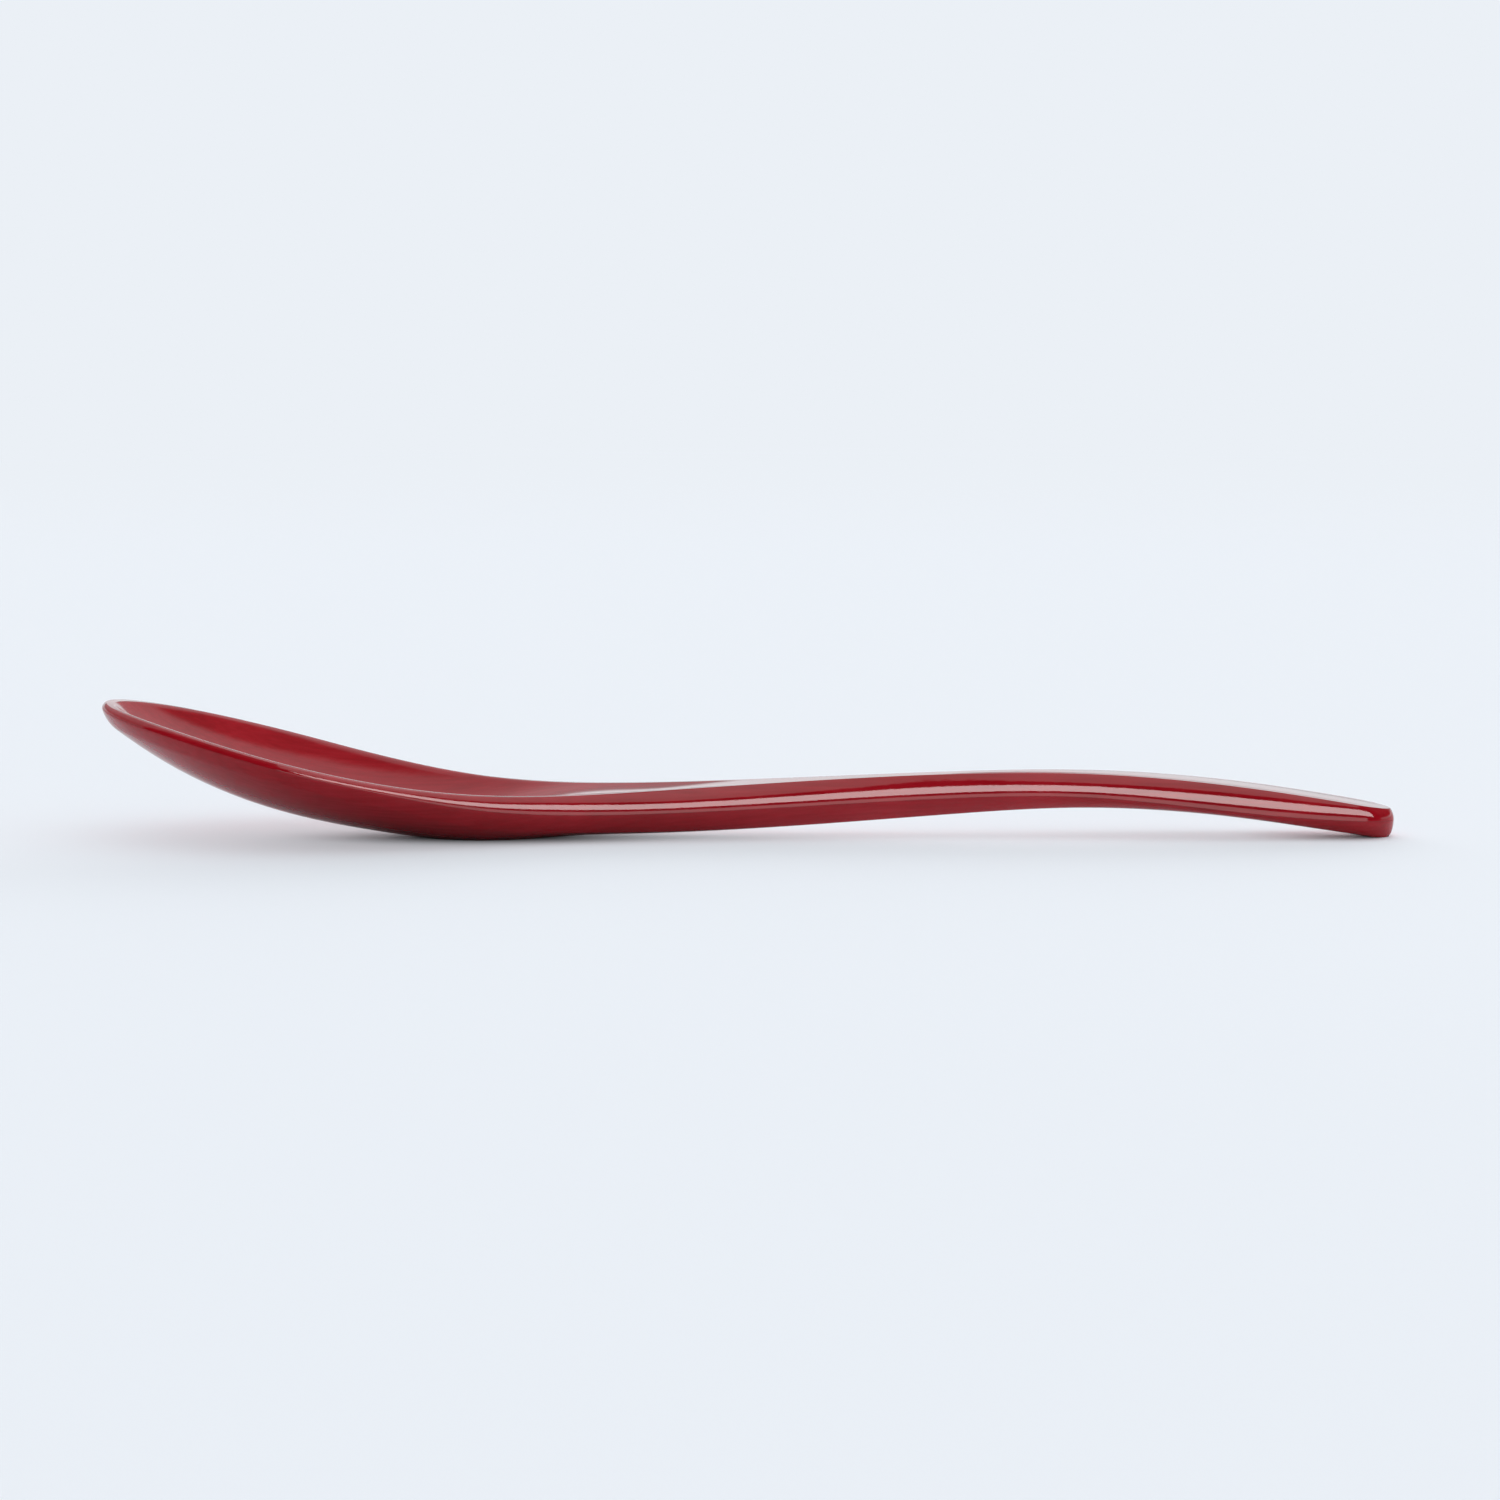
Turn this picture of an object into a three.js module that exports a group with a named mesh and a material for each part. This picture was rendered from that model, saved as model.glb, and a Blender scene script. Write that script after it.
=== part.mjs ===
// A lacquered wooden spoon that lies on a table: carved core, ground coats and red lacquer coats.
import * as THREE from 'three';

// Sizes in mm. X runs from the bowl tip to the handle end, Z is up, and the table is z = 0.
const overallLength = 180;
const noseLength = 30;
const endRadius = 5.4;

// Steps from one station to the next along the bowl, and shares of the handle's length beyond the neck.
const tipToNose = 8;
const noseToBowl = 20;
const bowlToHeel = 14;
const heelToThroat = 11;
const throatToShoulder = 11;
const shoulderToNeck = 12;
const waistShare = 0.42;
const archShare = 0.58;
const tailShare = 0.85;

// Plan widths, before the two ends are rounded off.
const bowlWidth = 37.3;
const heelWidth = 31.8;
const throatWidth = 25.3;
const shoulderWidth = 19.1;
const neckWidth = 14.5;
const waistWidth = 6.5;
const archWidth = 8.2;
const tailWidth = 10.6;
const endWidth = 8.6;

// Heights of the rim and of the handle's flat face above the table.
const tipTop = 19.05;
const noseTop = 17.15;
const bowlTop = 11.85;
const heelTop = 8.65;
const throatTop = 7.1;
const shoulderTop = 6.65;
const neckTop = 6.95;
const waistTop = 8.95;
const archTop = 9.05;
const tailTop = 6.5;
const endTop = 3.9;

// Depths from there down to the underside of the centre line. Throat and end reach a little under the
// table, so the belly and the end are rubbed flat where the spoon rests.
const tipDepth = 2.5;
const noseDepth = 6.05;
const bowlDepth = 8.9;
const heelDepth = 8.3;
const throatDepth = 7.75;
const shoulderDepth = 6.5;
const neckDepth = 6.4;
const waistDepth = 5.7;
const archDepth = 4.9;
const tailDepth = 4.4;
const endDepth = 4.7;

// Hollow of the face below the rim on the centre line. The handle's face swells a little instead.
const tipHollow = 0.5;
const noseHollow = 3.6;
const bowlHollow = 6.3;
const heelHollow = 5.5;
const throatHollow = 3.7;
const shoulderHollow = 1.05;
const neckHollow = 0.5;
const waistCrown = 0.02;
const archCrown = 0.03;
const endCrown = 0.04;

// The upper edge: its height above the widest line, and how far it reaches in from that line.
const bowlEdgeHeight = 0.9;
const heelEdgeHeight = 1.15;
const throatEdgeHeight = 1.85;
const shoulderEdgeHeight = 2.45;
const neckEdgeHeight = 2.9;
const waistEdgeHeight = 3.15;
const archEdgeHeight = 3.05;
const tailEdgeHeight = 3.1;
const endEdgeHeight = 1.5;
const bowlEdgeReach = 0.55;
const throatEdgeReach = 0.95;
const shoulderEdgeReach = 1.45;
const neckEdgeReach = 2.3;
const waistEdgeReach = 2.65;
const archEdgeReach = 2.5;
const tailEdgeReach = 1.9;
const endEdgeReach = 0.5;

// The flat rim's width, and its outward slope for each mm of hollow. The powers shape the edge: 1 is a
// crisp corner where it meets the rim, 2 a full round. The softness rounds the rim's inner side.
const rimWidth = 1.2;
const rimLean = 0.018;
const faceEdgePower = 1.15;
const backEdgePower = 2;
const rimSoftness = 0.05;

// Coats on the wood, measured square to the surface, and the hairline left between two layers.
const groundThickness = 0.12;
const lacquerThickness = 0.12;
const layerGap = 0.02;

// How finely the surface is divided: rings along bowl and handle, steps over an edge and from rim to middle.
const bowlRings = 24;
const handleRings = 18;
const edgeSteps = 3;
const hollowSteps = 4;

// Stations from the bowl tip to the handle end.
const noseAt = tipToNose;
const bowlAt = noseAt + noseToBowl;
const heelAt = bowlAt + bowlToHeel;
const throatAt = heelAt + heelToThroat;
const shoulderAt = throatAt + throatToShoulder;
const neckAt = shoulderAt + shoulderToNeck;
const handleLength = overallLength - neckAt;
const stations = {
  at: [
    0, noseAt, bowlAt, heelAt, throatAt, shoulderAt, neckAt,
    neckAt + waistShare * handleLength,
    neckAt + archShare * handleLength,
    neckAt + tailShare * handleLength,
    overallLength,
  ],
  width: [
    bowlWidth, bowlWidth, bowlWidth, heelWidth, throatWidth, shoulderWidth, neckWidth,
    waistWidth, archWidth, tailWidth, endWidth,
  ],
  top: [
    tipTop, noseTop, bowlTop, heelTop, throatTop, shoulderTop, neckTop,
    waistTop, archTop, tailTop, endTop,
  ],
  depth: [
    tipDepth, noseDepth, bowlDepth, heelDepth, throatDepth, shoulderDepth, neckDepth,
    waistDepth, archDepth, tailDepth, endDepth,
  ],
  hollow: [
    tipHollow, noseHollow, bowlHollow, heelHollow, throatHollow, shoulderHollow, neckHollow,
    -waistCrown, -archCrown, -endCrown, -endCrown,
  ],
  edgeHeight: [
    bowlEdgeHeight, bowlEdgeHeight, bowlEdgeHeight, heelEdgeHeight, throatEdgeHeight,
    shoulderEdgeHeight, neckEdgeHeight, waistEdgeHeight, archEdgeHeight, tailEdgeHeight, endEdgeHeight,
  ],
  edgeReach: [
    bowlEdgeReach, bowlEdgeReach, bowlEdgeReach, bowlEdgeReach, throatEdgeReach,
    shoulderEdgeReach, neckEdgeReach, waistEdgeReach, archEdgeReach, tailEdgeReach, endEdgeReach,
  ],
};

// A smooth curve through one column of the stations: a cubic spline with free ends.
function curveThrough(value) {
  const { at } = stations;
  const last = at.length - 1;
  const bend = new Array(last + 1).fill(0);
  const pivot = new Array(last + 1).fill(1);
  for (let i = 1; i < last; i += 1) {
    const before = at[i] - at[i - 1];
    const after = at[i + 1] - at[i];
    const rise = (value[i + 1] - value[i]) / after - (value[i] - value[i - 1]) / before;
    const carry = i > 1 ? before / pivot[i - 1] : 0;
    pivot[i] = 2 * (before + after) - carry * before;
    bend[i] = 6 * rise - carry * bend[i - 1];
  }
  for (let i = last - 1; i > 0; i -= 1) {
    bend[i] = (bend[i] - (at[i + 1] - at[i]) * bend[i + 1]) / pivot[i];
  }
  return (place) => {
    let i = 0;
    while (i < last - 1 && place > at[i + 1]) {
      i += 1;
    }
    const step = at[i + 1] - at[i];
    const ahead = at[i + 1] - place;
    const behind = place - at[i];
    const curved = (bend[i] * ahead ** 3 + bend[i + 1] * behind ** 3) / (6 * step);
    const left = (value[i] / step - (bend[i] * step) / 6) * ahead;
    const right = (value[i + 1] / step - (bend[i + 1] * step) / 6) * behind;
    return curved + left + right;
  };
}

const widthAt = curveThrough(stations.width);
const topAt = curveThrough(stations.top);
const depthAt = curveThrough(stations.depth);
const hollowAt = curveThrough(stations.hollow);
const edgeHeightAt = curveThrough(stations.edgeHeight);
const edgeReachAt = curveThrough(stations.edgeReach);

function seamAt(place) {
  return topAt(place) - edgeHeightAt(place);
}

// Half the plan width, squared: it falls to zero along an ellipse at the tip and a circle at the end.
function halfWidthSquared(place) {
  const nose = Math.max(0, 1 - place / noseLength);
  const end = Math.max(0, 1 - (overallLength - place) / endRadius);
  return (widthAt(place) / 2) ** 2 * (1 - nose ** 2) * (1 - end ** 2);
}

function squareSlope(place) {
  return (halfWidthSquared(place + 0.001) - halfWidthSquared(place - 0.001)) / 0.002;
}

// How far in from the outline the flat rim ends.
function rimReach(place) {
  return edgeReachAt(place) + rimWidth;
}

// 1 on the outline, and 0 from a distance in from it on.
function fallOver(inward, distance) {
  return THREE.MathUtils.clamp(1 - inward / distance, 0, 1);
}

// Height of the face over the widest line: up the edge, along the leaning rim, then down into the hollow,
// which fades out at the tip. within is 0 at the outline and 1 on the centre line.
function faceHeight(place, within, inward, reach, square) {
  const rim = (rimReach(place) * reach) / square;
  const past = rim < 1 ? Math.max(0, (within - rim) / (1 - rim)) : 0;
  const soft = Math.sqrt(past ** 2 + rimSoftness ** 2) - rimSoftness;
  const share = soft / (Math.sqrt(1 + rimSoftness ** 2) - rimSoftness);
  const atTip = Math.min(1, (rimReach(place) * Math.abs(squareSlope(place))) / square);
  const hollow = hollowAt(place) * (1 - atTip ** 2) ** 2;
  const lean = rimLean * Math.max(0, hollowAt(place)) * Math.max(0, rimReach(place) - inward);
  const climb = Math.sqrt(1 - fallOver(inward, edgeReachAt(place)) ** faceEdgePower);
  return (edgeHeightAt(place) - lean) * climb - hollow * share;
}

// Depth of the back under the widest line: round the edge, as far in as the rim reaches, and then down
// along a parabola to the underside.
function backDepth(place, within, inward) {
  const depth = depthAt(place) - edgeHeightAt(place);
  const round = depth * (1 - Math.exp(-edgeHeightAt(place) / depth));
  const edge = Math.sqrt(1 - fallOver(inward, rimReach(place)) ** backEdgePower);
  return (round + (depth - round) * within) * edge;
}

// One point of the spoon's skin. turn goes round a ring: 0 at the near seam, then over the face,
// pi at the far seam, and back underneath. Nothing goes below the table.
function skinPoint(place, turn) {
  const square = Math.max(1e-9, halfWidthSquared(place));
  const across = -Math.cos(turn);
  const y = across * Math.sqrt(square);
  const reach = 2 * Math.sqrt(squareSlope(place) ** 2 / 4 + y ** 2 + 1e-9);
  const inward = (square - y ** 2) / reach;
  const within = 1 - across ** 2;
  const onFace = Math.sin(turn) > 0;
  const rise = onFace ? faceHeight(place, within, inward, reach, square) : -backDepth(place, within, inward);
  return new THREE.Vector3(place - overallLength / 2, y, Math.max(0, seamAt(place) + rise));
}

// The outward direction at a point of the skin, from the points just beside it.
function skinNormal(place, turn) {
  const along = skinPoint(place + 0.01, turn).sub(skinPoint(place - 0.01, turn));
  const round = skinPoint(place, turn + 0.01).sub(skinPoint(place, turn - 0.01));
  return along.cross(round).normalize();
}

// The place between two limits where a height is greatest, by narrowing the span round its peak.
function highestPlace(height, from, to) {
  let [low, high] = [from, to];
  while (high - low > 0.0001) {
    const third = (high - low) / 3;
    if (height(low + third) < height(high - third)) {
      low += third;
    } else {
      high -= third;
    }
  }
  return (low + high) / 2;
}

// The ends of the stretch where the belly is rubbed flat, a little inside it: none if it clears the table.
function restPlaces() {
  const flat = [];
  for (let place = bowlAt; place < neckAt; place += 0.05) {
    if (depthAt(place) > topAt(place)) {
      flat.push(place);
    }
  }
  if (flat.length === 0) {
    return [];
  }
  const inset = 0.2 * (flat[flat.length - 1] - flat[0]);
  return [flat[0] + inset, flat[flat.length - 1] - inset];
}

// Places of the rings: close together at both ends, with rings of their own at the highest point of the
// tip, at the widest place of the bowl and at the ends of the rest flat.
function ringPlaces() {
  const tip = highestPlace((place) => skinPoint(place, Math.PI / 2).z, 0.01, noseLength / 8);
  const wide = highestPlace(halfWidthSquared, noseLength / 3, heelAt);
  const places = [tip, wide, ...restPlaces()];
  const own = [...places];
  const even = [];
  for (let i = 1; i <= bowlRings; i += 1) {
    even.push(neckAt * (1 - Math.cos((Math.PI * i) / (2 * bowlRings))));
  }
  for (let i = 1; i < handleRings; i += 1) {
    even.push(neckAt + handleLength * Math.sin((Math.PI * i) / (2 * handleRings)));
  }
  even.forEach((place, i) => {
    const spacing = place - (i > 0 ? even[i - 1] : 0);
    if (own.every((other) => Math.abs(other - place) > 0.45 * spacing)) {
      places.push(place);
    }
  });
  return places.sort((a, b) => a - b);
}

// Steps of a quarter ring from the seam to the centre line, as turns: over the edge, across the flat rim,
// and then evenly. Near the two ends of the spoon, where a ring is narrow, they draw together.
const quarterSteps = edgeSteps + 1 + hollowSteps;

function quarterTurns(place) {
  const square = halfWidthSquared(place);
  const lean = squareSlope(place) ** 2 / 4;
  const deepest = square / (2 * Math.sqrt(lean + 1e-9));
  const turns = [0];
  for (let k = 1; k <= edgeSteps + 1; k += 1) {
    const wanted = k > edgeSteps ? rimReach(place) : edgeReachAt(place) * (k / edgeSteps) ** 2;
    const distance = Math.min(wanted, (deepest * k) / quarterSteps);
    const half = square + 2 * distance ** 2;
    const inner = half - Math.sqrt(half ** 2 - square ** 2 + 4 * distance ** 2 * lean);
    turns.push(Math.acos(Math.sqrt(inner / square)));
  }
  const rim = Math.cos(turns[edgeSteps + 1]);
  for (let k = 1; k <= hollowSteps; k += 1) {
    turns.push(Math.acos(rim * (1 - k / hollowSteps)));
  }
  return turns;
}

function ringTurns(place) {
  const quarter = quarterTurns(place);
  const half = [...quarter.slice(0, -1), ...quarter.slice(1).reverse().map((turn) => Math.PI - turn)];
  return [...half, ...half.map((turn) => Math.PI + turn)];
}

// The whole skin at a depth: tip, then rings that run over the face and back under, then the handle end.
const ringSize = 4 * quarterSteps;
const faceStep = 0;
const backStep = ringSize / 2;
const places = ringPlaces();

function skinPoints(depth) {
  const points = [new THREE.Vector3(depth - overallLength / 2, 0, seamAt(0))];
  for (const place of places) {
    for (const turn of ringTurns(place)) {
      points.push(skinPoint(place, turn).addScaledVector(skinNormal(place, turn), -depth));
    }
  }
  points.push(new THREE.Vector3(overallLength / 2 - depth, 0, seamAt(overallLength)));
  return points;
}

const tipIndex = 0;
const endIndex = 1 + places.length * ringSize;

function ringIndex(ring, step) {
  return 1 + ring * ringSize + (step % ringSize);
}

// Triangles of the skin between two steps of the rings, facing outwards, alike on the near and far side.
function skinTriangles(fromStep, toStep) {
  const triangles = [];
  const lastRing = places.length - 1;
  for (let k = fromStep; k < toStep; k += 1) {
    const near = k < quarterSteps || k >= 3 * quarterSteps;
    triangles.push([tipIndex, ringIndex(0, k), ringIndex(0, k + 1)]);
    triangles.push([endIndex, ringIndex(lastRing, k + 1), ringIndex(lastRing, k)]);
    for (let ring = 0; ring < lastRing; ring += 1) {
      const a = ringIndex(ring, k);
      const b = ringIndex(ring + 1, k);
      const c = ringIndex(ring + 1, k + 1);
      const d = ringIndex(ring, k + 1);
      if (near) {
        triangles.push([a, b, c], [a, c, d]);
      } else {
        triangles.push([a, b, d], [b, c, d]);
      }
    }
  }
  return triangles;
}

const groundDepth = lacquerThickness + layerGap;
const coreDepth = groundDepth + groundThickness + layerGap;

function meshOf(name, corners, material) {
  const geometry = new THREE.BufferGeometry().setFromPoints(corners);
  geometry.computeVertexNormals();
  const mesh = new THREE.Mesh(geometry, material);
  mesh.name = name;
  return mesh;
}

// The carved wood: bowl, neck and handle in one piece.
function woodCore() {
  const skin = skinPoints(coreDepth);
  const corners = skinTriangles(0, ringSize).flat().map((i) => skin[i]);
  const wood = new THREE.MeshStandardMaterial({ color: 0xc89a63, roughness: 0.7, metalness: 0 });
  return meshOf('wood_core', corners, wood);
}

// Skin points at a depth, for the face or the back, lifted or lowered at the seam by half the hairline.
function coatPoints(depth, fromStep) {
  const points = skinPoints(depth);
  const shift = fromStep === faceStep ? layerGap / 2 : -layerGap / 2;
  const seam = [tipIndex, endIndex];
  for (let ring = 0; ring < places.length; ring += 1) {
    seam.push(ringIndex(ring, faceStep), ringIndex(ring, backStep));
  }
  for (const i of seam) {
    points[i].z += shift;
  }
  return points;
}

// One coat over the face or the back, closed along the seam between its outer and inner skin.
function coat(name, depth, thickness, fromStep, material) {
  const toStep = fromStep + ringSize / 2;
  const outer = coatPoints(depth, fromStep);
  const inner = coatPoints(depth + thickness, fromStep);
  const corners = [];
  for (const [a, b, c] of skinTriangles(fromStep, toStep)) {
    corners.push(outer[a], outer[b], outer[c]);
    corners.push(inner[a], inner[c], inner[b]);
  }
  const start = [tipIndex, ...places.map((place, ring) => ringIndex(ring, fromStep)), endIndex];
  const stop = [tipIndex, ...places.map((place, ring) => ringIndex(ring, toStep)), endIndex];
  for (let i = 0; i + 1 < start.length; i += 1) {
    const [a, b] = [start[i], start[i + 1]];
    corners.push(outer[b], outer[a], inner[a]);
    corners.push(outer[b], inner[a], inner[b]);
    const [c, d] = [stop[i], stop[i + 1]];
    corners.push(outer[c], outer[d], inner[c]);
    corners.push(outer[d], inner[d], inner[c]);
  }
  return meshOf(name, corners, material);
}

const groundPaint = new THREE.MeshStandardMaterial({ color: 0x6b3a2e, roughness: 0.85, metalness: 0 });
const redLacquer = new THREE.MeshStandardMaterial({ color: 0x9c2a33, roughness: 0.12, metalness: 0 });

const spoon = new THREE.Group();
spoon.name = 'spoon';
spoon.add(woodCore());
spoon.add(coat('ground_coat_face', groundDepth, groundThickness, faceStep, groundPaint));
spoon.add(coat('ground_coat_back', groundDepth, groundThickness, backStep, groundPaint));
spoon.add(coat('lacquer_face', 0, lacquerThickness, faceStep, redLacquer));
spoon.add(coat('lacquer_back', 0, lacquerThickness, backStep, redLacquer));

export default spoon;
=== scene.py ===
import math

import bpy
import numpy as np
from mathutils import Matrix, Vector


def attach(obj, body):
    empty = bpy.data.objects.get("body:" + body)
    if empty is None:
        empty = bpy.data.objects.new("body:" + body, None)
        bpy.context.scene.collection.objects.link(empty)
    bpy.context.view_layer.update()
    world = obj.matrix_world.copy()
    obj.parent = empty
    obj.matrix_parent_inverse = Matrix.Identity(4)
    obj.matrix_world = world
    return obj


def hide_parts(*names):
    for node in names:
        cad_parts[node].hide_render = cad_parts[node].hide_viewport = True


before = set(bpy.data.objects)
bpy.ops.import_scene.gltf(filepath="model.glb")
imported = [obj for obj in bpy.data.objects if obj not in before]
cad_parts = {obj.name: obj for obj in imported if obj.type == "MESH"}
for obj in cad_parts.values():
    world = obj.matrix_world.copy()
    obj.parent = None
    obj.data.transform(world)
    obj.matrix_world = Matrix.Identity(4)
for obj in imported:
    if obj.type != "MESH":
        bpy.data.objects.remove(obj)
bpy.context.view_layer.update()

# A red lacquered wooden spoon on a pale table: a carved wood core, two ground coats and two lacquer coats.
# Sizes are in millimetres, the same as the part's own, and the meshes are in metres.
MM = 0.001
OVERALL_LENGTH = 180.0
NOSE_LENGTH = 30.0
END_RADIUS = 5.4
# The flat rim: its width, its outward slope for each millimetre of hollow, and how softly it turns down
# into the hollow.
RIM_WIDTH = 1.2
RIM_LEAN = 0.018
RIM_SOFTNESS = 0.05
# Powers of the curves that round the two edges: 1 is a parabola and 2 a quarter of an ellipse.
FACE_EDGE_POWER = 1.15
BACK_EDGE_POWER = 2.0
# Between these places on the neck the face's hollow runs out to flat.
HOLLOW_FADES_FROM = 74.0
FACE_FLAT_FROM = 90.0
# The two coats, and the hairline between neighbouring pieces.
GROUND_THICKNESS = 0.12
LACQUER_THICKNESS = 0.12
LAYER_GAP = 0.02
# Small steps that slopes are taken from: along the spoon for the plan width, along it for the outward
# direction, with the share of it that is used, and round it in radians. TINY keeps a division from zero.
WIDTH_STEP = 0.001
NORMAL_STEP = 0.05
NORMAL_STEP_SHARE = 0.2
TURN_STEP = 0.004
TINY = 1e-9
# Faces that meet at more than this angle keep a sharp edge: the coats' edges at the seam.
SHARP_ANGLE = math.radians(50)

# Stations from the bowl tip to the handle end, one row each: place along the spoon, plan width before
# the ends are rounded off, height of the rim or the flat face, depth from there to the underside of the
# centre line, hollow of the face, and the upper edge's height and reach.
STATIONS = np.array([
    (0, 37.3, 19.05, 2.5, 0.5, 0.9, 0.55),
    (8, 37.3, 17.15, 6.05, 3.6, 0.9, 0.55),
    (28, 37.3, 11.85, 8.9, 6.3, 0.9, 0.55),
    (42, 31.8, 8.65, 8.3, 5.5, 1.15, 0.55),
    (53, 25.3, 7.1, 7.75, 3.7, 1.85, 0.95),
    (64, 19.1, 6.65, 6.5, 1.05, 2.45, 1.45),
    (76, 14.5, 6.95, 6.4, 0.5, 2.9, 2.3),
    (119.68, 6.5, 8.95, 5.7, -0.02, 3.15, 2.65),
    (136.32, 8.2, 9.05, 4.9, -0.03, 3.05, 2.5),
    (164.4, 10.6, 6.5, 4.4, -0.04, 3.1, 1.9),
    (180, 8.6, 3.9, 4.7, -0.04, 1.5, 0.5),
])


def curve_through(column):
    """A cubic spline with free ends through one column of the stations. The bends (second derivatives)
    solve the three-term system of a smooth joint at each inner station, with none at the two ends."""
    at, value = STATIONS[:, 0], STATIONS[:, column]
    span = np.diff(at)
    system = np.diag(np.r_[1.0, 2 * (span[:-1] + span[1:]), 1.0])
    system += np.diag(np.r_[span[:-1], 0.0], -1) + np.diag(np.r_[0.0, span[1:]], 1)
    bend = np.linalg.solve(system, np.r_[0.0, 6 * np.diff(np.diff(value) / span), 0.0])

    def curve(place):
        i = np.clip(np.searchsorted(at, place) - 1, 0, len(at) - 2)
        ahead, behind, step = at[i + 1] - place, place - at[i], span[i]
        curved = (bend[i] * ahead**3 + bend[i + 1] * behind**3) / (6 * step)
        left = (value[i] / step - bend[i] * step / 6) * ahead
        right = (value[i + 1] / step - bend[i + 1] * step / 6) * behind
        return curved + left + right

    return curve


columns = range(1, STATIONS.shape[1])
width_at, top_at, depth_at, carved_at, edge_height_at, edge_reach_at = (curve_through(c) for c in columns)


def hollow_at(place):
    """Hollow of the face on the centre line: the station curve, which runs out to flat along the neck."""
    out = np.clip((place - HOLLOW_FADES_FROM) / (FACE_FLAT_FROM - HOLLOW_FADES_FROM), 0, 1)
    return carved_at(place) - np.maximum(0, carved_at(place)) * out**2 * (3 - 2 * out)


def seam_at(place):
    """Height of the widest line: the edge's height under the rim."""
    return top_at(place) - edge_height_at(place)


def rim_reach(place):
    """How far in from the outline the flat rim ends."""
    return edge_reach_at(place) + RIM_WIDTH


def half_width_squared(place):
    """Half the plan width, squared: the station curve, closed by an ellipse at the tip and a circle at
    the handle end."""
    nose = np.maximum(0, 1 - place / NOSE_LENGTH)
    end = np.maximum(0, 1 - (OVERALL_LENGTH - place) / END_RADIUS)
    return (width_at(place) / 2) ** 2 * (1 - nose**2) * (1 - end**2)


def square_slope(place):
    """How fast that square changes along the spoon, from two points close by."""
    after, before = half_width_squared(place + WIDTH_STEP), half_width_squared(place - WIDTH_STEP)
    return (after - before) / (2 * WIDTH_STEP)


def skin(place, turn):
    """A point of the spoon's surface. turn is 0 at the near seam, goes over the face, is pi at the far
    seam and comes back underneath. The face climbs the edge along a superellipse, runs along the rim, which
    leans outwards with the hollow, and goes down into a parabolic hollow, which fades out at the tip. The
    back goes round its edge, as far in as the rim reaches, and down along a parabola. What would go under
    the table is rubbed flat."""
    square = np.maximum(TINY, half_width_squared(place))
    across = -np.cos(turn)
    within = 1 - across**2
    y = across * np.sqrt(square)
    slope = square_slope(place)
    reach = 2 * np.sqrt(slope**2 / 4 + y**2 + TINY)
    inward = within * square / reach
    fall = np.clip(1 - inward / edge_reach_at(place), 0, 1)
    fall_back = np.clip(1 - inward / rim_reach(place), 0, 1)
    rim = rim_reach(place) * reach / square
    past = np.maximum(0, (within - rim) / np.maximum(1 - rim, TINY)) * (rim < 1)
    soft = np.sqrt(past**2 + RIM_SOFTNESS**2) - RIM_SOFTNESS
    share = soft / (math.hypot(1, RIM_SOFTNESS) - RIM_SOFTNESS)
    at_tip = np.minimum(1, rim_reach(place) * np.abs(slope) / square)
    hollow = hollow_at(place) * (1 - at_tip**2) ** 2
    lean = RIM_LEAN * np.maximum(0, hollow_at(place)) * np.maximum(0, rim_reach(place) - inward)
    face = (edge_height_at(place) - lean) * np.sqrt(1 - fall**FACE_EDGE_POWER) - hollow * share
    depth = depth_at(place) - edge_height_at(place)
    rounded = depth * (1 - np.exp(-edge_height_at(place) / depth))
    back = (rounded + (depth - rounded) * within) * np.sqrt(1 - fall_back**BACK_EDGE_POWER)
    z = seam_at(place) + np.where(np.sin(turn) > 0, face, -back)
    return np.stack([place - OVERALL_LENGTH / 2 + 0 * turn, y, np.maximum(0, z)], -1)


def outward(place, turn):
    """The outward direction of the surface: the cross product of its slopes along and round the spoon,
    each from two points close by."""
    step = NORMAL_STEP_SHARE * np.minimum(NORMAL_STEP, np.minimum(place, OVERALL_LENGTH - place))
    along = skin(place + step, turn) - skin(place - step, turn)
    around = skin(place, turn + TURN_STEP) - skin(place, turn - TURN_STEP)
    normal = np.cross(along, around)
    return normal / np.linalg.norm(normal, axis=-1, keepdims=True)


def half_turns(place, edge_steps, rim_steps, hollow_steps):
    """Turns of the steps from the near to the far seam, one row for each ring. From the seam to the centre
    line the steps lie at set distances in from the outline: over the edge, closer at its two ends, then
    across the flat rim, and then evenly to the middle. A point at distance d in from the outline, where the
    half width squared is s and half its slope squared is m, has y squared = s + 2dd - the root of
    (s + 2dd)^2 - ss + 4ddm. Near the two ends the steps draw together, so none runs past the middle."""
    square, lean = half_width_squared(place), square_slope(place) ** 2 / 4
    deepest = square / (2 * np.sqrt(lean + TINY))
    count = edge_steps + rim_steps
    edge = (1 - np.cos(np.pi * np.arange(edge_steps + 1) / edge_steps)) / 2
    wanted = np.concatenate([
        edge_reach_at(place) * edge[None, :],
        edge_reach_at(place) + RIM_WIDTH * np.arange(1, rim_steps + 1)[None, :] / rim_steps,
    ], 1)
    limit = deepest * np.arange(count + 1)[None, :] / (count + hollow_steps)
    inset = np.minimum(wanted, limit)
    half = square + 2 * inset**2
    inner = half - np.sqrt(np.maximum(0, half**2 - square**2 + 4 * inset**2 * lean))
    across = np.sqrt(np.clip(inner / square, 0, 1))
    middle = across[:, -1:] * (1 - np.arange(1, hollow_steps + 1)[None, :] / hollow_steps)
    quarter = np.arccos(np.concatenate([across, middle], 1))
    return np.concatenate([quarter, np.pi - quarter[:, -2::-1]], 1)


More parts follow.
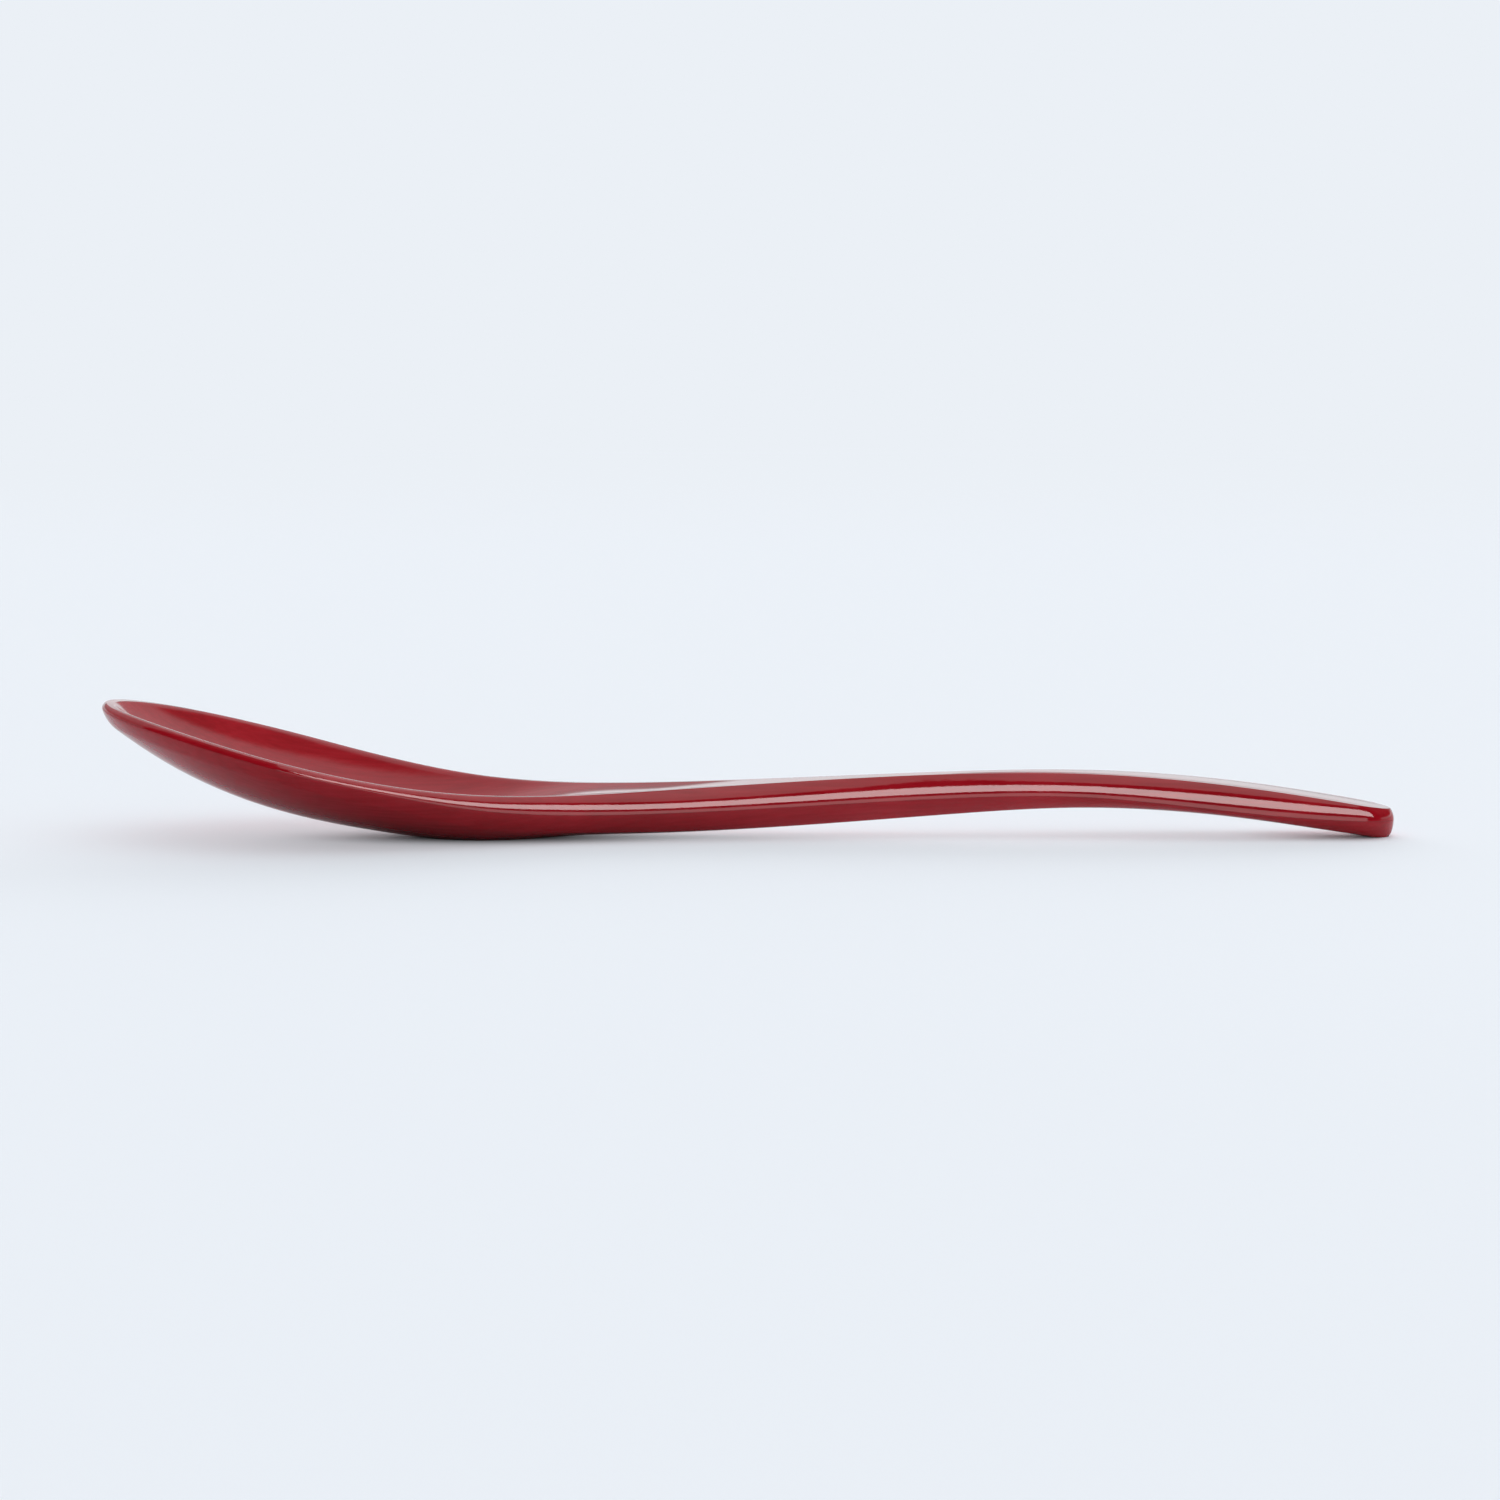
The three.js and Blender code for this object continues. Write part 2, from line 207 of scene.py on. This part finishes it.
def layer(depth, start, rings, steps):
    """Points at a depth under the surface on a grid of rings along the spoon by steps over its face, when
    start is 0, or its back, when start is pi. The rings are spaced by a cosine, so they lie close at the
    tip and the end."""
    ring = np.arange(1, rings) / rings
    place = OVERALL_LENGTH / 2 * (1 - np.cos(np.pi * ring))[:, None]
    place, turn = np.broadcast_arrays(place, start + half_turns(place, *steps))
    return skin(place, turn) - depth * outward(place, turn)


def pole(depth, at_end):
    """The tip or the handle end at a depth, where all steps of a ring meet."""
    x = OVERALL_LENGTH / 2 - depth
    return np.array([x if at_end else -x, 0.0, seam_at(np.array(OVERALL_LENGTH if at_end else 0.0))])


def mesh_piece(name, points, quads, triangles):
    """A smooth mesh object from points in millimetres, with its corners kept sharp at the seam."""
    mesh = bpy.data.meshes.new(name)
    mesh.from_pydata((points * MM).tolist(), [], quads.tolist() + triangles.tolist())
    mesh.shade_smooth()
    mesh.set_sharp_from_angle(angle=SHARP_ANGLE)
    piece = bpy.data.objects.new(name, mesh)
    bpy.context.scene.collection.objects.link(piece)
    return piece


def ring_quads(count, size):
    """Quads that join each closed ring of points to the next one."""
    step = np.arange(size)
    after = (step + 1) % size
    ring = np.arange(count - 1)[:, None] * size
    return np.stack([ring + step, ring + size + step, ring + size + after, ring + after], -1).reshape(-1, 4)


def coat_shell(name, depth, thickness, face, rings, spread):
    """A coat over the face or the back: its outer layer runs from seam to seam, and its inner layer runs
    back, so each ring is a closed loop. The loops are joined by quads, and fans close the two poles."""
    start = 0.0 if face else math.pi
    lift = np.array([0, 0, LAYER_GAP / 2 if face else -LAYER_GAP / 2])
    outer = layer(depth, start, rings, spread)
    inner = layer(depth + thickness, start, rings, spread)
    steps = outer.shape[1] - 1
    for sheet in (outer, inner):
        sheet[:, [0, -1]] += lift
    loop = np.concatenate([outer, inner[:, ::-1]], 1)
    count, size = loop.shape[:2]
    poles = [pole(d, end) + lift for end in (False, True) for d in (depth, depth + thickness)]
    points = np.concatenate([loop.reshape(-1, 3), poles])
    tip_outer, tip_inner, end_outer, end_inner = np.arange(4) + count * size
    out = np.arange(steps)
    back = out + steps + 1
    last = (count - 1) * size
    fans = [
        np.stack([np.full(steps, tip_outer), out, out + 1], -1),
        np.stack([np.full(steps, tip_inner), back, back + 1], -1),
        np.stack([np.full(steps, end_outer), last + out + 1, last + out], -1),
        np.stack([np.full(steps, end_inner), last + back + 1, last + back], -1),
    ]
    seam = np.array([
        (tip_outer, steps, steps + 1, tip_inner),
        (tip_inner, size - 1, 0, tip_outer),
        (end_inner, last + steps + 1, last + steps, end_outer),
        (end_outer, last, last + size - 1, end_inner),
    ])
    quads = np.concatenate([ring_quads(count, size), seam])
    return mesh_piece(name, points, quads, np.concatenate(fans))


def core_body(name, depth, rings, spread):
    """The carved wood: the whole surface at a depth, closed round each ring and by a fan at each pole."""
    halves = [layer(depth, start, rings, spread)[:, :-1] for start in (0.0, math.pi)]
    loop = np.concatenate(halves, 1)
    count, size = loop.shape[:2]
    points = np.concatenate([loop.reshape(-1, 3), [pole(depth, False), pole(depth, True)]])
    step = np.arange(size)
    after = (step + 1) % size
    tip, end, last = count * size, count * size + 1, (count - 1) * size
    fans = [
        np.stack([np.full(size, tip), step, after], -1),
        np.stack([np.full(size, end), last + after, last + step], -1),
    ]
    return mesh_piece(name, points, ring_quads(count, size), np.concatenate(fans))


def linear(hex_colour):
    """An sRGB hex value as linear red, green, blue and full alpha."""
    srgb = np.array([int(hex_colour[i:i + 2], 16) for i in (1, 3, 5)]) / 255
    values = np.where(srgb <= 0.04045, srgb / 12.92, ((srgb + 0.055) / 1.055) ** 2.4)
    return (*values.tolist(), 1.0)


def add(tree, kind, links=None, values=None, stops=(), **settings):
    """Adds one node: settings are its properties, values its unlinked sockets, links what feeds it, and
    stops the positions and hex colours of a ramp."""
    node = tree.nodes.new(kind)
    for key, value in settings.items():
        setattr(node, key, value)
    for key, value in (values or {}).items():
        node.inputs[key].default_value = value
    for key, source in (links or {}).items():
        tree.links.new(source, node.inputs[key])
    for i, (position, colour) in enumerate(stops):
        elements = node.color_ramp.elements
        stop = elements[i] if i < len(elements) else elements.new(position)
        stop.position, stop.color = position, linear(colour)
    return node


def new_material(name):
    """An empty node material and its tree."""
    material = bpy.data.materials.new(name)
    material.use_nodes = True
    material.node_tree.nodes.clear()
    return material, material.node_tree


def brushed_red_lacquer():
    """Red lacquer over wood, brushed on along the spoon and polished. It gives the eye a deep, slightly
    uneven red under a clear gloss, with faint long brush streaks and a skin that isn't quite flat."""
    material, tree = new_material("red_lacquer_brushed_and_polished")
    place = add(tree, "ShaderNodeTexCoord").outputs["Object"]
    # Brush hairs leave streaks about 0.6 mm apart and 25 mm long.
    long_way = add(tree, "ShaderNodeMapping", {"Vector": place}, {"Scale": (40, 1600, 1600)})
    streaks = add(tree, "ShaderNodeTexNoise", {"Vector": long_way.outputs["Vector"]},
                  {"Scale": 1.0, "Detail": 3.0, "Roughness": 0.55})
    # Cloudy patches about 12 mm across, where the coat is a little thicker.
    clouds = add(tree, "ShaderNodeTexNoise", {"Vector": place}, {"Scale": 80.0, "Detail": 3.0})
    both = add(tree, "ShaderNodeMath", {0: streaks.outputs["Fac"], 1: clouds.outputs["Fac"]}, operation="ADD")
    share = add(tree, "ShaderNodeMath", {0: both.outputs[0]}, {1: 0.5}, operation="MULTIPLY")
    colour = add(tree, "ShaderNodeValToRGB", {"Fac": share.outputs[0]},
                 stops=[(0.34, "#9F0B19"), (0.5, "#AD101F"), (0.66, "#B81827")])
    rough = add(tree, "ShaderNodeMapRange", {"Value": streaks.outputs["Fac"]},
                {"From Min": 0.3, "From Max": 0.7, "To Min": 0.05, "To Max": 0.09})
    # Orange peel about 1.5 mm across, left by the brush and softened by polishing.
    peel = add(tree, "ShaderNodeTexNoise", {"Vector": place}, {"Scale": 650.0, "Detail": 2.0})
    bump = add(tree, "ShaderNodeBump", {"Height": peel.outputs["Fac"]},
               {"Strength": 0.05, "Distance": 0.0002})
    shader = add(tree, "ShaderNodeBsdfPrincipled",
                 {"Base Color": colour.outputs["Color"], "Roughness": rough.outputs["Result"],
                  "Normal": bump.outputs["Normal"]},
                 {"IOR": 1.46})
    add(tree, "ShaderNodeOutputMaterial", {"Surface": shader.outputs["BSDF"]})
    return material


def clay_ground():
    """Ground coat of clay and raw lacquer, rubbed flat with a stone. It is a dull red brown with fine
    grit."""
    material, tree = new_material("clay_ground_rubbed_flat")
    place = add(tree, "ShaderNodeTexCoord").outputs["Object"]
    # Grit about 0.3 mm across.
    grit = add(tree, "ShaderNodeTexNoise", {"Vector": place}, {"Scale": 3300.0, "Detail": 3.0})
    colour = add(tree, "ShaderNodeValToRGB", {"Fac": grit.outputs["Fac"]},
                 stops=[(0.35, "#5C2F25"), (0.65, "#7A4535")])
    rough = add(tree, "ShaderNodeMapRange", {"Value": grit.outputs["Fac"]}, {"To Min": 0.78, "To Max": 0.92})
    bump = add(tree, "ShaderNodeBump", {"Height": grit.outputs["Fac"]}, {"Strength": 0.2, "Distance": 0.0001})
    shader = add(tree, "ShaderNodeBsdfPrincipled",
                 {"Base Color": colour.outputs["Color"], "Roughness": rough.outputs["Result"],
                  "Normal": bump.outputs["Normal"]})
    add(tree, "ShaderNodeOutputMaterial", {"Surface": shader.outputs["BSDF"]})
    return material


def carved_wood():
    """Pale close-grained wood, carved and sanded. Its grain runs along the spoon in soft bands."""
    material, tree = new_material("close_grained_wood_carved")
    place = add(tree, "ShaderNodeTexCoord").outputs["Object"]
    # Growth rings about 1.5 mm apart, drawn out along the spoon.
    drawn = add(tree, "ShaderNodeMapping", {"Vector": place}, {"Scale": (12, 660, 660)})
    bands = add(tree, "ShaderNodeTexWave", {"Vector": drawn.outputs["Vector"]},
                {"Scale": 0.3, "Distortion": 4.0, "Detail": 3.0, "Detail Scale": 1.2},
                bands_direction="Z")
    colour = add(tree, "ShaderNodeValToRGB", {"Fac": bands.outputs["Fac"]},
                 stops=[(0.1, "#B98A55"), (0.6, "#CFA26C"), (0.95, "#DDB884")])
    rough = add(tree, "ShaderNodeMapRange", {"Value": bands.outputs["Fac"]}, {"To Min": 0.6, "To Max": 0.75})
    bump = add(tree, "ShaderNodeBump", {"Height": bands.outputs["Fac"]},
               {"Strength": 0.15, "Distance": 0.0001})
    shader = add(tree, "ShaderNodeBsdfPrincipled",
                 {"Base Color": colour.outputs["Color"], "Roughness": rough.outputs["Result"],
                  "Normal": bump.outputs["Normal"]})
    add(tree, "ShaderNodeOutputMaterial", {"Surface": shader.outputs["BSDF"]})
    return material


# Rings along the spoon, and steps over an edge, across the flat rim and from there to the middle.
LACQUER_RINGS, LACQUER_STEPS = 400, (12, 4, 24)
INNER_RINGS, INNER_STEPS = 160, (6, 2, 12)
GROUND_DEPTH = LACQUER_THICKNESS + LAYER_GAP
CORE_DEPTH = GROUND_DEPTH + GROUND_THICKNESS + LAYER_GAP

lacquer, ground, wood = brushed_red_lacquer(), clay_ground(), carved_wood()
dressed = [
    (core_body("carved_wood_core", CORE_DEPTH, INNER_RINGS, INNER_STEPS), "wood_core", "wood", wood),
    (coat_shell("ground_over_face", GROUND_DEPTH, GROUND_THICKNESS, True, INNER_RINGS, INNER_STEPS),
     "ground_coat_face", "ground", ground),
    (coat_shell("ground_over_back", GROUND_DEPTH, GROUND_THICKNESS, False, INNER_RINGS, INNER_STEPS),
     "ground_coat_back", "ground", ground),
    (coat_shell("red_lacquer_over_face", 0, LACQUER_THICKNESS, True, LACQUER_RINGS, LACQUER_STEPS),
     "lacquer_face", "lacquer", lacquer),
    (coat_shell("red_lacquer_over_back", 0, LACQUER_THICKNESS, False, LACQUER_RINGS, LACQUER_STEPS),
     "lacquer_back", "lacquer", lacquer),
]
for piece, node, slot, material in dressed:
    piece.data.materials.append(material)
    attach(piece, "root")
    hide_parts(node)

# The table is a pale matte sheet. Near the spoon it takes light and shadow, and further off it turns into
# the same even tone as the backdrop, so no edge shows. From here on lengths are in metres.
BACKDROP = "#EBF0F6"
TABLE = "#EBF0F6"
TABLE_HALF_WIDTH = 4.0
TABLE_FADES_FROM = 0.25
TABLE_GONE_AT = 0.7
# The share of the backdrop's tone that lightens the shadow for the camera.
LIFT = 0.42
# Where the spoon touches the table: centre and half size of the belly's rest and of the handle end.
BELLY_CONTACT = ((-0.037, 0.0, 0), (0.034, 0.011, 1))
END_CONTACT = ((0.085, 0.003, 0), (0.02, 0.011, 1))
# Painted shade: the table's colour is darkened for reflections and bounced light, deepest under the bowl,
# towards the camera. Here are that patch, and how much of the light that the table sends back to the spoon is
# taken away in its middle and elsewhere.
BOWL_SHADE = ((-0.043, -0.012, 0), (0.05, 0.042, 1))
SHADE_DIM = 0.35
TABLE_DIM = 0.15

# What lights the scene: an overcast sky, given at the horizon, by its rise to the top and by its lean to
# the right, the backdrop's glow low behind, and the tone of what the gloss reflects.
SKY = "#FCFDFF"
SKY_AT_HORIZON = 0.25
SKY_RISE = 0.7
SKY_LEAN = 0.2
BACKDROP_GLOW = 5.0
GLOSS_SKY = "#D8EFF2"
CEILING_SLANT = -0.55
DARK_ROOM = 0.02
# Panels that show only in the gloss: name, centre, sides across and along, tilt in degrees and radiance.
PANELS = [
    ("near_softbox", (0.205, -0.2, 0.208), 0.39, 0.186, 90, 8.5),
    ("front_skirt", (0.32, -0.82, 0.12), 0.86, 0.24, 90, 2.1),
    ("overhead_panel", (0.115, -0.047, 0.4), 0.21, 0.256, 0, 1.3),
]


def ring_round(tree, place, centre, half):
    """How far a place is from a centre, where 1 is an ellipse of the given half sizes."""
    away = add(tree, "ShaderNodeVectorMath", {0: place}, {1: centre}, operation="SUBTRACT")
    sized = add(tree, "ShaderNodeVectorMath", {0: away.outputs["Vector"]}, {1: half}, operation="DIVIDE")
    ring = add(tree, "ShaderNodeVectorMath", {0: sized.outputs["Vector"]}, operation="LENGTH")
    return ring.outputs["Value"]


def pale_table():
    """Pale matte paper. It keeps the spoon's shadow, which a share of the backdrop's own tone lightens for
    the camera, but not where the spoon touches, and it fades to that tone further out for the camera and for
    reflections. What it sends back to the spoon carries a painted shade: it is a little dimmer than the
    camera sees it, and most so in the deep shade under the bowl."""
    material, tree = new_material("pale_paper_matte")
    place = add(tree, "ShaderNodeTexCoord").outputs["Object"]
    fibre = add(tree, "ShaderNodeTexNoise", {"Vector": place}, {"Scale": 900.0, "Detail": 3.0})
    bump = add(tree, "ShaderNodeBump", {"Height": fibre.outputs["Fac"]},
               {"Strength": 0.05, "Distance": 0.0002})
    ray = add(tree, "ShaderNodeLightPath").outputs
    bounced = add(tree, "ShaderNodeMath", {0: ray["Is Glossy Ray"], 1: ray["Is Transmission Ray"]},
                  operation="MAXIMUM").outputs[0]
    # Painted shade: for every ray but the camera's, the paper's colour is darkened, most under the bowl.
    under_bowl = ring_round(tree, place, *BOWL_SHADE)
    shade = add(tree, "ShaderNodeMapRange", {"Value": under_bowl},
                {"From Min": 0.3, "From Max": 1.0, "To Min": SHADE_DIM, "To Max": TABLE_DIM},
                interpolation_type="SMOOTHSTEP").outputs["Result"]
    unseen = add(tree, "ShaderNodeMath", {1: ray["Is Camera Ray"]}, {0: 1.0}, operation="SUBTRACT").outputs[0]
    dim = add(tree, "ShaderNodeMath", {0: unseen, 1: shade}, operation="MULTIPLY").outputs[0]
    shaded = add(tree, "ShaderNodeMix", {"Factor": dim}, {"A": linear(TABLE), "B": (0, 0, 0, 1)},
                 data_type="RGBA")
    paper = add(tree, "ShaderNodeBsdfPrincipled",
                {"Base Color": shaded.outputs["Result"], "Normal": bump.outputs["Normal"]},
                {"Roughness": 0.9, "Specular IOR Level": 0.1})
    far = add(tree, "ShaderNodeEmission", None, {"Color": linear(BACKDROP), "Strength": 1.0})
    reach = add(tree, "ShaderNodeVectorMath", {0: place}, operation="LENGTH").outputs["Value"]
    fade = add(tree, "ShaderNodeMapRange", {"Value": reach},
               {"From Min": TABLE_FADES_FROM, "From Max": TABLE_GONE_AT},
               interpolation_type="SMOOTHSTEP").outputs["Result"]
    off_belly, off_end = (
        add(tree, "ShaderNodeMapRange", {"Value": ring_round(tree, place, *contact)},
            {"From Min": 0.2, "From Max": 1.0}, interpolation_type="SMOOTHSTEP").outputs["Result"]
        for contact in (BELLY_CONTACT, END_CONTACT)
    )
    lift = add(tree, "ShaderNodeMath", {0: off_belly}, {1: LIFT}, operation="MULTIPLY").outputs[0]
    lift = add(tree, "ShaderNodeMath", {0: off_end, 1: lift}, operation="MULTIPLY").outputs[0]
    lifted = add(tree, "ShaderNodeMath", {0: fade, 1: lift}, operation="MAXIMUM").outputs[0]
    for_gloss = add(tree, "ShaderNodeMath", {0: bounced, 1: fade}, operation="MULTIPLY").outputs[0]
    share = add(tree, "ShaderNodeMath", {0: ray["Is Camera Ray"], 1: lifted, 2: for_gloss},
                operation="MULTIPLY_ADD").outputs[0]
    mix = add(tree, "ShaderNodeMixShader", {0: share, 1: paper.outputs["BSDF"], 2: far.outputs[0]})
    add(tree, "ShaderNodeOutputMaterial", {"Surface": mix.outputs["Shader"]})
    return material


def table_sheet():
    """A wide flat square sheet on the plane z = 0."""
    mesh = bpy.data.meshes.new("table_sheet")
    corner = np.array([(-1, -1, 0), (1, -1, 0), (1, 1, 0), (-1, 1, 0)]) * TABLE_HALF_WIDTH
    mesh.from_pydata(corner.tolist(), [], [(0, 1, 2, 3)])
    sheet = bpy.data.objects.new("table_sheet", mesh)
    bpy.context.scene.collection.objects.link(sheet)
    mesh.materials.append(pale_table())


def studio_air():
    """The world: an even pale backdrop for the camera. Reflections see that backdrop, brightest a little
    above the table's far edge, a soft ceiling that brightens over it up to a slanted front edge, and a dark
    room in front. The rest is lit as by an overcast sky, which rises with the sine of the height and is a
    little brighter to the right, where the softbox stands, and by the bright backdrop low behind, which
    casts the broad soft shadow towards the camera."""
    world = bpy.data.worlds.new("studio")
    bpy.context.scene.world = world
    world.use_nodes = True
    tree = world.node_tree
    tree.nodes.clear()
    heading = add(tree, "ShaderNodeTexCoord").outputs["Generated"]
    way = add(tree, "ShaderNodeSeparateXYZ", {"Vector": heading}).outputs
    # What the gloss sees: ceiling, backdrop and dark room.
    slant = add(tree, "ShaderNodeMath", {0: way["X"], 2: way["Y"]}, {1: CEILING_SLANT},
                operation="MULTIPLY_ADD")
    ceiling = add(tree, "ShaderNodeMapRange", {"Value": slant.outputs[0]},
                  {"From Min": 0.17, "From Max": 0.29, "To Min": 0.22, "To Max": 1.1},
                  interpolation_type="SMOOTHSTEP").outputs["Result"]
    low = add(tree, "ShaderNodeMapRange", {"Value": way["Z"]},
              {"From Min": 0.02, "From Max": 0.1, "To Min": 0.65, "To Max": 1.45},
              interpolation_type="SMOOTHSTEP").outputs["Result"]
    above = add(tree, "ShaderNodeMapRange", {"Value": way["Z"]}, {"From Min": 0.13, "From Max": 0.22},
                interpolation_type="SMOOTHSTEP").outputs["Result"]
    climb = add(tree, "ShaderNodeMapRange", {"Value": way["Z"]},
                {"From Min": 0.3, "From Max": 0.65, "To Min": 0.45}).outputs["Result"]
    tall = add(tree, "ShaderNodeMath", {0: ceiling, 1: climb}, operation="MULTIPLY").outputs[0]
    behind = add(tree, "ShaderNodeMix", {"Factor": above, "A": low, "B": tall}).outputs["Result"]
    back = add(tree, "ShaderNodeMapRange", {"Value": way["Y"]}, {"From Min": -0.27, "From Max": -0.17},
               interpolation_type="SMOOTHSTEP").outputs["Result"]
    glow = add(tree, "ShaderNodeMix", {"Factor": back, "B": behind}, {"A": DARK_ROOM}).outputs["Result"]
    # What lights the matte colours: the sky and the backdrop's glow.
    even = add(tree, "ShaderNodeMath", {0: way["Z"]}, {1: SKY_RISE, 2: SKY_AT_HORIZON},
               operation="MULTIPLY_ADD").outputs[0]
    sky = add(tree, "ShaderNodeMath", {0: way["X"], 2: even}, {1: SKY_LEAN},
              operation="MULTIPLY_ADD").outputs[0]
    low_down = add(tree, "ShaderNodeMapRange", {"Value": way["Z"]},
                   {"From Min": 0.22, "From Max": 0.6, "To Min": BACKDROP_GLOW, "To Max": 0.0},
                   interpolation_type="SMOOTHSTEP").outputs["Result"]
    at_back = add(tree, "ShaderNodeMapRange", {"Value": way["Y"]}, {"From Min": 0.4, "From Max": 0.7},
                  interpolation_type="SMOOTHSTEP").outputs["Result"]
    lit_sky = add(tree, "ShaderNodeMath", {0: low_down, 1: at_back, 2: sky}, operation="MULTIPLY_ADD")
    # The camera, the gloss and the rest each see their own.
    seen = add(tree, "ShaderNodeBackground", None, {"Color": linear(BACKDROP), "Strength": 1.0})
    room = add(tree, "ShaderNodeBackground", {"Strength": glow}, {"Color": linear(GLOSS_SKY)})
    soft = add(tree, "ShaderNodeBackground", {"Strength": lit_sky.outputs[0]}, {"Color": linear(SKY)})
    ray = add(tree, "ShaderNodeLightPath").outputs
    bounced = add(tree, "ShaderNodeMath", {0: ray["Is Glossy Ray"], 1: ray["Is Transmission Ray"]},
                  operation="MAXIMUM")
    lit = add(tree, "ShaderNodeMixShader", {0: bounced.outputs[0], 1: soft.outputs[0], 2: room.outputs[0]})
    all_of = add(tree, "ShaderNodeMixShader",
                 {0: ray["Is Camera Ray"], 1: lit.outputs[0], 2: seen.outputs[0]})
    add(tree, "ShaderNodeOutputWorld", {"Surface": all_of.outputs[0]})


def soft_panel(name, centre, across, along, tilt, radiance):
    """A soft light panel that only shows in the gloss: centre and sides in metres, tilted from facing down
    towards facing the back. Its power gives the wanted radiance: power = radiance x pi x area."""
    lamp = bpy.data.lights.new(name, "AREA")
    lamp.shape = "RECTANGLE"
    lamp.size, lamp.size_y = across, along
    lamp.energy = radiance * math.pi * across * along
    panel = bpy.data.objects.new(name, lamp)
    panel.location = centre
    panel.rotation_euler = (math.radians(tilt), 0, 0)
    panel.visible_diffuse = False
    panel.visible_camera = False
    bpy.context.scene.collection.objects.link(panel)


table_sheet()
studio_air()
for panel in PANELS:
    soft_panel(*panel)

# The camera stands 0.9 m off, 7 degrees above the table, and sees 209 mm across at the spoon: the photo's
# width over its pixels for each millimetre.
CAMERA_TARGET = Vector((0.17, 0.0, 12.1)) * MM
CAMERA_HEIGHT = math.radians(7)
CAMERA_DISTANCE = 0.9
PHOTO_WIDTH = 1500
PIXELS_PER_MM = 7.175
SEEN_ACROSS = PHOTO_WIDTH / PIXELS_PER_MM * MM
SENSOR_WIDTH = 36.0
NEAR_LIMIT, FAR_LIMIT = 0.05, 50.0
camera = bpy.data.cameras.new("camera")
camera.sensor_width = SENSOR_WIDTH
camera.lens = SENSOR_WIDTH * CAMERA_DISTANCE / SEEN_ACROSS
camera.clip_start, camera.clip_end = NEAR_LIMIT, FAR_LIMIT
viewer = bpy.data.objects.new("camera", camera)
sight = Vector((0, -math.cos(CAMERA_HEIGHT), math.sin(CAMERA_HEIGHT)))
viewer.location = CAMERA_TARGET + sight * CAMERA_DISTANCE
viewer.rotation_euler = sight.to_track_quat("Z", "Y").to_euler()
bpy.context.scene.collection.objects.link(viewer)
bpy.context.scene.camera = viewer
bpy.context.scene.view_settings.view_transform = "Standard"
